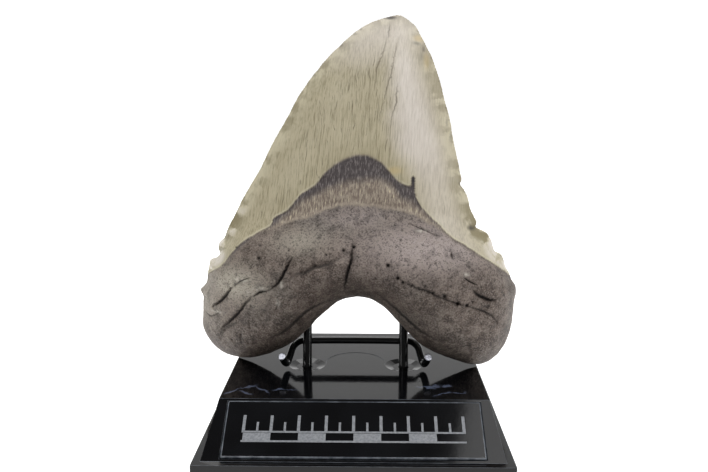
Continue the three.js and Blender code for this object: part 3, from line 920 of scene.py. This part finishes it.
def black_plastic(name, veined):
    """Glossy black moulding, with faint blue-white marbling where it is veined."""
    g = Graph(name, Roughness=0.09, IOR=1.45)
    g.shader.inputs["Specular IOR Level"].default_value = 0.42
    place = g.object_coords()
    haze = g.noise(place, 60.0, 3.0, 0.5)
    colour = g.mix(haze.rise(0.3, 0.8), srgb(7, 7, 9), srgb(14, 15, 18))
    if veined:
        colour = g.mix(vein_mask(g, place) * 0.62, colour, srgb(104, 113, 136))
    rough = 0.05 + haze * 0.07
    scuffs = g.noise(place, 420.0, 2.0, 0.6)
    return g.finish(Base_Color=colour, Roughness=rough, Normal=g.bump(scuffs, 0.00002, 0.35))


def wire_material():
    g = Graph("coated_wire", Roughness=0.2, IOR=1.5)
    place = g.object_coords()
    runs = g.noise(place, 260.0, 3.0, 0.6)
    colour = g.mix(runs.rise(0.35, 0.75), srgb(9, 10, 11), srgb(22, 24, 25))
    return g.finish(Base_Color=colour, Roughness=0.08 + runs * 0.14, Normal=g.bump(runs, 0.00006, 0.4))


def cut_steel_material():
    g = Graph("cut_wire_end", Roughness=0.3, Metallic=1.0)
    place = g.object_coords()
    lines = g.noise(g.stretch(place, (1.0, 1.0, 5.0)), 900.0, 3.0, 0.6)
    colour = g.mix(lines.rise(0.3, 0.7), srgb(120, 122, 132), srgb(205, 206, 214))
    return g.finish(Base_Color=colour, Roughness=0.28 + lines * 0.2, Normal=g.bump(lines, 0.00008, 0.6))


def marking_material():
    g = Graph("scale_marks", Roughness=0.5)
    place = g.object_coords()
    patchy_noise = g.noise(place, 1200.0, 3.0, 0.6)
    colour = g.mix(patchy_noise.rise(0.3, 0.7), srgb(120, 123, 128), srgb(150, 153, 158))
    return g.finish(Base_Color=colour, Roughness=0.45 + patchy_noise * 0.2)


# ---------------------------------------------------------------- geometry node trees


def plain_mesh(piece, name):
    """The evaluated result of an object as a plain mesh object; the source is removed."""
    graph = bpy.context.evaluated_depsgraph_get()
    mesh = bpy.data.meshes.new_from_object(piece.evaluated_get(graph))
    mesh.name = name
    bpy.data.objects.remove(piece)
    return link_object(name, mesh)


class NodeTree:
    """A geometry node tree under construction, with named inputs."""

    def __init__(self, name, inputs):
        self.tree = bpy.data.node_groups.new(name, "GeometryNodeTree")
        face = self.tree.interface
        face.new_socket("Geometry", in_out="INPUT", socket_type="NodeSocketGeometry")
        self.ids = {}
        for label, kind, default in inputs:
            socket = face.new_socket(label, in_out="INPUT", socket_type=kind)
            if default is not None:
                socket.default_value = default
            self.ids[label] = socket.identifier
        face.new_socket("Geometry", in_out="OUTPUT", socket_type="NodeSocketGeometry")
        self.start = self.tree.nodes.new("NodeGroupInput")

    def add(self, kind, settings=None, inputs=None):
        node = self.tree.nodes.new(kind)
        for key, value in (settings or {}).items():
            setattr(node, key, value)
        for key, value in (inputs or {}).items():
            if isinstance(value, bpy.types.NodeSocket):
                self.tree.links.new(value, node.inputs[key])
            else:
                node.inputs[key].default_value = value
        return node

    def given(self, label):
        return self.start.outputs[label]

    def finish(self, geometry):
        real = self.add("GeometryNodeRealizeInstances", None, {"Geometry": geometry})
        done = self.add(
            "GeometryNodeSetMaterial",
            None,
            {"Geometry": real.outputs["Geometry"], "Material": self.given("Material")},
        )
        end = self.tree.nodes.new("NodeGroupOutput")
        self.tree.links.new(done.outputs["Geometry"], end.inputs[0])

    def run(self, source, name, **values):
        """The tree's result on a source object, as a plain mesh object."""
        modifier = source.modifiers.new("build", "NODES")
        modifier.node_group = self.tree
        for label, value in values.items():
            modifier[self.ids[label.replace("_", " ")]] = value
        return plain_mesh(source, name)


def wire_tree():
    """Round wire along a curve, closed at both ends."""
    t = NodeTree(
        "round_wire",
        [
            ("Radius", "NodeSocketFloat", 0.0015),
            ("Step", "NodeSocketFloat", 0.001),
            ("Sides", "NodeSocketInt", 24),
            ("Material", "NodeSocketMaterial", None),
        ],
    )
    even = t.add(
        "GeometryNodeResampleCurve",
        {"mode": "LENGTH"},
        {"Curve": t.given("Geometry"), "Length": t.given("Step")},
    )
    ring = t.add(
        "GeometryNodeCurvePrimitiveCircle",
        None,
        {"Resolution": t.given("Sides"), "Radius": t.given("Radius")},
    )
    wire = t.add(
        "GeometryNodeCurveToMesh",
        None,
        {"Curve": even.outputs[0], "Profile Curve": ring.outputs[0], "Fill Caps": True},
    )
    smooth = t.add("GeometryNodeSetShadeSmooth", None, {"Geometry": wire.outputs[0]})
    t.finish(smooth.outputs[0])
    return t


def bar_row_tree():
    """A straight row of equal flat bars."""
    t = NodeTree(
        "bar_row",
        [
            ("Count", "NodeSocketInt", 9),
            ("Pitch", "NodeSocketFloat", 0.01),
            ("Bar", "NodeSocketVector", (0.001, 0.008, 0.0002)),
            ("Start", "NodeSocketVector", (0.0, 0.0, 0.0)),
            ("Material", "NodeSocketMaterial", None),
        ],
    )
    step = t.add("ShaderNodeCombineXYZ", None, {"X": t.given("Pitch")})
    row = t.add(
        "GeometryNodeMeshLine",
        None,
        {"Count": t.given("Count"), "Start Location": t.given("Start"), "Offset": step.outputs[0]},
    )
    bar = t.add("GeometryNodeMeshCube", None, {"Size": t.given("Bar")})
    bars = t.add(
        "GeometryNodeInstanceOnPoints",
        None,
        {"Points": row.outputs[0], "Instance": bar.outputs[0]},
    )
    t.finish(bars.outputs[0])
    return t


def path_object(name, points):
    """A poly curve through points in millimetres."""
    curve = bpy.data.curves.new(name, "CURVE")
    curve.dimensions = "3D"
    spline = curve.splines.new("POLY")
    spline.points.add(len(points) - 1)
    for target, point in zip(spline.points, points):
        target.co = (*(float(v) * MM for v in point), 1.0)
    return link_object(name, curve)


# ---------------------------------------------------------------- settings


class FossilToothSettings(bpy.types.PropertyGroup):
    """Colours of the fossil's enamel and root."""

    cream: FloatVectorProperty(
        name="Cream", description="Light enamel", subtype="COLOR", default=srgb(190, 181, 154)
    )
    olive: FloatVectorProperty(
        name="Olive", description="Darker enamel", subtype="COLOR", default=srgb(166, 156, 128)
    )
    # Pale: the crown's pale patch, partly the enamel's own tone and partly a painted sheen.
    pale: FloatVectorProperty(
        name="Pale", description="Smooth pale enamel", subtype="COLOR", default=srgb(218, 209, 199)
    )
    umber: FloatVectorProperty(
        name="Umber", description="Dark root", subtype="COLOR", default=srgb(85, 72, 64)
    )
    taupe: FloatVectorProperty(
        name="Taupe", description="Light root", subtype="COLOR", default=srgb(122, 108, 99)
    )


class FossilStandSettings(bpy.types.PropertyGroup):
    """Sizes on the stand."""

    edge_round: FloatProperty(
        name="Edge rounding", description="Radius on the moulding's edges", unit="LENGTH",
        default=0.0006, min=0.0001, max=0.0012,
    )
    post_radius: FloatProperty(
        name="Post radius", description="Radius of the easel's wire", unit="LENGTH",
        default=0.0019, min=0.001, max=0.003,
    )
    arm_radius: FloatProperty(
        name="Arm radius", description="Radius of the cradle's wire", unit="LENGTH",
        default=0.0015, min=0.001, max=0.003,
    )
    scale_steps: IntProperty(
        name="Scale steps", description="Centimetres on the plaque's plain scale", default=8,
        min=1, max=8,
    )


# ---------------------------------------------------------------- operators


class FOSSIL_OT_tooth(bpy.types.Operator):
    """Build the tooth: crown, collar and root in one surface"""

    bl_idname = "fossil.tooth"
    bl_label = "Build tooth"

    def execute(self, context):
        chosen = context.scene.fossil_tooth
        colours = {
            "reed": srgb(138, 129, 102), "straw": srgb(193, 183, 155), "ivory": srgb(234, 226, 218),
            # The green-olive and butter tones paint shade and highlight on the enamel's folded edges; butter
            # also colours the lip.
            "fold_shade_tone": srgb(156, 147, 120), "butter": srgb(222, 214, 186), "hair": srgb(84, 76, 60),
            "olive_dark": srgb(140, 130, 98), "honey": srgb(206, 180, 120),
            "slate": srgb(120, 117, 111), "grit": srgb(154, 143, 133), "soot": srgb(46, 39, 35),
            "lavender": srgb(204, 190, 186), "sage": srgb(206, 199, 182),
            "cocoa": srgb(58, 46, 39), "chalk": srgb(214, 208, 196),
            "bark": srgb(122, 108, 97), "fawn": srgb(168, 156, 140), "sand": srgb(206, 192, 162),
            "coal": srgb(74, 67, 67), "ash": srgb(136, 128, 126), "ink": srgb(44, 42, 46),
            # The crack colour is the painted shade in cracks and pores.
            "crack": srgb(22, 18, 16),
        }
        for label in ("cream", "olive", "pale", "umber", "taupe"):
            colours[label] = tuple(getattr(chosen, label))
        piece = mesh_from_arrays("fossil_tooth", *build_tooth_mesh())
        piece.data.materials.append(fossil_material(colours))
        settle(piece, "tooth", "tooth")
        return {"FINISHED"}


class FOSSIL_OT_base(bpy.types.Operator):
    """Build the moulded base with rounded edges"""

    bl_idname = "fossil.base"
    bl_label = "Build base"

    def execute(self, context):
        mesh = frame["nodes"]["base"].data.copy()
        mesh.name = "moulded_base"
        mesh.materials.clear()
        work = bmesh.new()
        work.from_mesh(mesh)
        bmesh.ops.remove_doubles(work, verts=work.verts, dist=0.00002)
        for vertex in work.verts:
            x, y, z = vertex.co / MM
            in_dish = math.hypot(x, y - DECK_MIDDLE_Y) < DISH_RADIUS + 0.5
            if in_dish and abs(z - DECK_Z + DISH_DEPTH) < 0.1:
                vertex.co.z = (DECK_Z - SOFT_DISH_DEPTH) * MM
        bmesh.ops.dissolve_limit(
            work, angle_limit=math.radians(1.0), verts=work.verts, edges=work.edges
        )
        work.to_mesh(mesh)
        work.free()
        mesh.materials.append(black_plastic("veined_plastic", True))
        # The bevels take the lighter grey edge material, a painted highlight along the moulding's edges.
        mesh.materials.append(edge_highlight_material())
        piece = link_object("moulded_base_raw", mesh)
        bevel = piece.modifiers.new("edges", "BEVEL")
        bevel.width = context.scene.fossil_stand.edge_round
        bevel.segments = 3
        bevel.limit_method = "ANGLE"
        bevel.angle_limit = math.radians(28)
        bevel.harden_normals = True
        bevel.material = 1
        piece = plain_mesh(piece, "moulded_base")
        settle(piece, "base", "base")
        return {"FINISHED"}


def on_front(piece, lift):
    """Turns a flat piece onto the sloped front, a lift in metres out from it."""
    middle = Vector((0, (DECK_FRONT_Y - FRONT_RUN / 2) * MM, (DECK_Z - BODY_DROP / 2) * MM))
    for vertex in piece.data.vertices:
        x, y, z = vertex.co
        z += lift
        vertex.co = middle + Vector(
            (
                x,
                y * math.cos(FRONT_ANGLE) - z * math.sin(FRONT_ANGLE),
                y * math.sin(FRONT_ANGLE) + z * math.cos(FRONT_ANGLE),
            )
        )


class FOSSIL_OT_plaque(bpy.types.Operator):
    """Build the plaque and its plain centimetre scale"""

    bl_idname = "fossil.plaque"
    bl_label = "Build plaque"

    def execute(self, context):
        width, height, thickness = PLATE_WIDTH * MM, PLATE_HEIGHT * MM, PLATE_THICKNESS * MM
        top = PLATE_STANDS_OUT * MM
        mesh = bpy.data.meshes.new("plate")
        work = bmesh.new()
        bmesh.ops.create_cube(work, size=1.0)
        bmesh.ops.scale(work, vec=(width, height, thickness), verts=work.verts)
        bmesh.ops.bevel(
            work, geom=work.edges[:], offset=PLATE_BEVEL * MM, segments=3, affect="EDGES",
            profile=0.5, material=1,
        )
        work.to_mesh(mesh)
        work.free()
        plate = link_object("name_plate", mesh)
        on_front(plate, top - thickness / 2)
        for face in mesh.polygons:
            face.use_smooth = face.area < (20 * MM) ** 2
        mesh.materials.append(black_plastic("plate_plastic", False))
        # The plate's bevels take the lighter grey edge material, a painted highlight along its edges.
        mesh.materials.append(bpy.data.materials["painted_highlight_edge"])
        settle(plate, "plaque", "plaque")

        steps = context.scene.fossil_stand.scale_steps
        marks = marking_material()
        row = bar_row_tree()
        pitch = 10 * MM
        left = -steps * pitch / 2
        skin = 0.12 * MM
        parts = []
        for name, count, gap, bar, start in (
            ("long_ticks", steps + 1, pitch, (1.1 * MM, 6.4 * MM, skin), (left, 2.2 * MM, 0)),
            ("short_ticks", steps, pitch, (0.8 * MM, 3.6 * MM, skin), (left + pitch / 2, 0.8 * MM, 0)),
            (
                "filled_blocks", steps // 2, 2 * pitch,
                (pitch, 3.0 * MM, skin), (left + pitch / 2, -3.4 * MM, 0),
            ),
        ):
            seed = link_object(name + "_seed", bpy.data.meshes.new(name))
            piece = row.run(seed, name, Count=count, Pitch=gap, Bar=bar, Start=start, Material=marks)
            on_front(piece, top)
            parts.append(piece)
        for name, y in (("upper_rule", -1.4), ("lower_rule", -5.2)):
            seed = link_object(name + "_seed", bpy.data.meshes.new(name))
            piece = row.run(
                seed, name, Count=1, Pitch=0.0,
                Bar=(steps * pitch + 1.1 * MM, 0.7 * MM, skin), Start=(0, y * MM, 0), Material=marks,
            )
            on_front(piece, top)
            parts.append(piece)
        for piece in parts:
            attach(piece, "root")
        return {"FINISHED"}


def easel_route():
    """The easel wire's centre line, from one buried foot over the top to the other."""

    def post(side, height):
        y = DECK_MIDDLE_Y - POST_FOOT_BACK + height * math.tan(POST_LEAN)
        return np.array([side * POST_SPACING / 2, y, DECK_Z + height])

    def corner(side):
        start = post(side, POST_TOP - POST_BEND)
        knee = post(side, POST_TOP)
        end = knee - np.array([side * POST_BEND, 0, 0])
        t = np.linspace(0, 1, 14)[:, None]
        return (1 - t) ** 2 * start + 2 * t * (1 - t) * knee + t**2 * end

    left = corner(-1)
    right = corner(1)[::-1]
    return np.concatenate([[post(-1, -POST_BURIED)], left, right, [post(1, -POST_BURIED)]])


# Half the cradle wire, from its upturned end to behind the posts: across, back of the
# deck's middle, above the deck. Its end reaches about 1.5 mm further forward than the frame's.
CRADLE_HALF = [
    (29.6, -14.6, 7.8), (29.4, -13, 6.4), (29, -11, 4.3), (28.3, -8, 2.7),
    (27.3, -3.6, 4.8), (26.2, 0, 7.3), (23.6, 2.7, 8.6), (18, 3.2, 8.7),
]


class FOSSIL_OT_wires(bpy.types.Operator):
    """Build the easel wire and the cradle wire"""

    bl_idname = "fossil.wires"
    bl_label = "Build wires"

    def execute(self, context):
        chosen = context.scene.fossil_stand
        tree = wire_tree()
        coat = wire_material()
        easel = tree.run(
            path_object("easel_path", easel_route()),
            "easel_rod", Radius=chosen.post_radius, Step=0.0012, Sides=28, Material=coat,
        )
        settle(easel, "wire", "easel_wire")
        half = np.array(CRADLE_HALF) + np.array([0, DECK_MIDDLE_Y, DECK_Z])
        other = half[::-1] * np.array([-1, 1, 1])
        route = smooth_curve(np.concatenate([half, other]), 0.6)
        cradle = tree.run(
            path_object("cradle_path", route),
            "cradle_rod", Radius=chosen.arm_radius, Step=0.0007, Sides=28, Material=coat,
        )
        cradle.data.materials.append(cut_steel_material())
        soften_ends(cradle, 0.25 * MM)
        settle(cradle, "wire", "cradle_wire")
        return {"FINISHED"}


def soften_ends(piece, width):
    """Chamfers a wire's two end discs and gives them the bare metal."""
    work = bmesh.new()
    work.from_mesh(piece.data)
    caps = [f for f in work.faces if len(f.verts) > 4]
    for cap in caps:
        cap.smooth = False
        cap.material_index = 1
        bmesh.ops.inset_individual(work, faces=[cap], thickness=width, depth=width * 0.6)
    work.to_mesh(piece.data)
    work.free()


class FOSSIL_OT_stage(bpy.types.Operator):
    """Set the camera, the pale floor and the soft lights"""

    bl_idname = "fossil.stage"
    bl_label = "Set stage"

    def execute(self, context):
        scene = context.scene
        data = bpy.data.cameras.new("camera")
        data.sensor_width = 36.0
        data.lens = 38.6
        data.clip_start = 0.01
        camera = bpy.data.objects.new("camera", data)
        camera.location = (4.2 * MM, (DECK_MIDDLE_Y - 307.0) * MM, (DECK_Z + 114.7) * MM)
        camera.rotation_euler = (math.radians(90 - 11.03), 0, math.radians(0.9))
        scene.collection.objects.link(camera)
        scene.camera = camera

        floor = link_object("floor", sweep_mesh(3.0, 1.2, 2.2))
        g = Graph("pale_floor", Roughness=0.9, Emission_Strength=1.0)
        g.shader.inputs["Specular IOR Level"].default_value = 0.1
        place = g.object_coords()
        depth = g.add("ShaderNodeSeparateXYZ", None, {0: place}, 1)
        height = g.add("ShaderNodeSeparateXYZ", None, {0: place}, 2)
        glow = g.mix(depth.rise(-0.05, -0.16), (0.85, 0.85, 0.85), (0.06, 0.06, 0.06))
        glow = g.mix(height.rise(0.5, 0.8), glow, (0.42, 0.42, 0.42))
        paint = g.mix(depth.rise(-0.05, -0.16), (0.8, 0.8, 0.8), (0.6, 0.6, 0.6))
        floor.data.materials.append(g.finish(Base_Color=paint, Emission_Color=glow))

        for name, place, size, power, aim in (
            ("left_softbox", (-0.44, -0.42, 1.0), 0.5, 3.1, (0, 0, 0.09)),
            ("right_softbox", (0.38, -0.42, 1.04), 0.5, 4.8, (0, 0, 0.09)),
            ("overhead_softbox", (0.41, -0.08, 1.0), 0.5, 1.8, (0, 0, 0.09)),
            ("rear_softbox", (-0.1, 0.55, 0.8), 0.5, 2.2, (0, 0, 0.09)),
            ("left_strip", (-0.62, -0.26, 0.09), 0.1, 0.34, (0, 0, 0.05)),
            ("right_strip", (0.62, -0.3, 0.09), 0.1, 0.3, (0, 0, 0.05)),
        ):
            light = bpy.data.lights.new(name, "AREA")
            light.shape = "SQUARE"
            light.size = size
            light.energy = power
            lamp = bpy.data.objects.new(name, light)
            lamp.location = place
            lamp.rotation_euler = (Vector(aim) - Vector(place)).to_track_quat("-Z", "Y").to_euler()
            scene.collection.objects.link(lamp)

        world = bpy.data.worlds.new("studio")
        world.use_nodes = True
        world.node_tree.nodes["Background"].inputs["Color"].default_value = (1, 1, 1, 1)
        world.node_tree.nodes["Background"].inputs["Strength"].default_value = 0.12
        scene.world = world
        scene.view_settings.view_transform = "Standard"
        return {"FINISHED"}


def sweep_mesh(half_width, bend, height):
    """A floor that curves up into a backdrop."""
    profile = [(-3.0, 0.0), (1.4, 0.0)]
    for step in range(1, 13):
        angle = math.pi / 2 * step / 12
        profile.append((1.4 + bend * math.sin(angle), bend * (1 - math.cos(angle))))
    profile.append((1.4 + bend, height))
    vertices = [(x, y, z) for y, z in profile for x in (-half_width, half_width)]
    faces = [(2 * i, 2 * i + 1, 2 * i + 3, 2 * i + 2) for i in range(len(profile) - 1)]
    mesh = bpy.data.meshes.new("floor")
    mesh.from_pydata(vertices, [], faces)
    mesh.shade_smooth()
    return mesh


class FOSSIL_PT_panel(bpy.types.Panel):
    """Buttons that build the tooth and its stand"""

    bl_idname = "FOSSIL_PT_panel"
    bl_label = "Fossil tooth"
    bl_space_type = "VIEW_3D"
    bl_region_type = "UI"
    bl_category = "Fossil"

    def draw(self, context):
        layout = self.layout
        for settings in (context.scene.fossil_tooth, context.scene.fossil_stand):
            for label in settings.__annotations__:
                layout.prop(settings, label)
        for operator in OPERATORS:
            layout.operator(operator.bl_idname)


OPERATORS = (FOSSIL_OT_stage, FOSSIL_OT_base, FOSSIL_OT_plaque, FOSSIL_OT_wires, FOSSIL_OT_tooth)
CLASSES = (FossilToothSettings, FossilStandSettings, *OPERATORS, FOSSIL_PT_panel)


def register():
    for item in CLASSES:
        bpy.utils.register_class(item)
    bpy.types.Scene.fossil_tooth = PointerProperty(type=FossilToothSettings)
    bpy.types.Scene.fossil_stand = PointerProperty(type=FossilStandSettings)


def unregister():
    del bpy.types.Scene.fossil_stand
    del bpy.types.Scene.fossil_tooth
    for item in reversed(CLASSES):
        bpy.utils.unregister_class(item)


def main():
    register()
    bpy.ops.fossil.stage()
    bpy.ops.fossil.base()
    bpy.ops.fossil.plaque()
    bpy.ops.fossil.wires()
    bpy.ops.fossil.tooth()


if __name__ == "__main__":
    main()
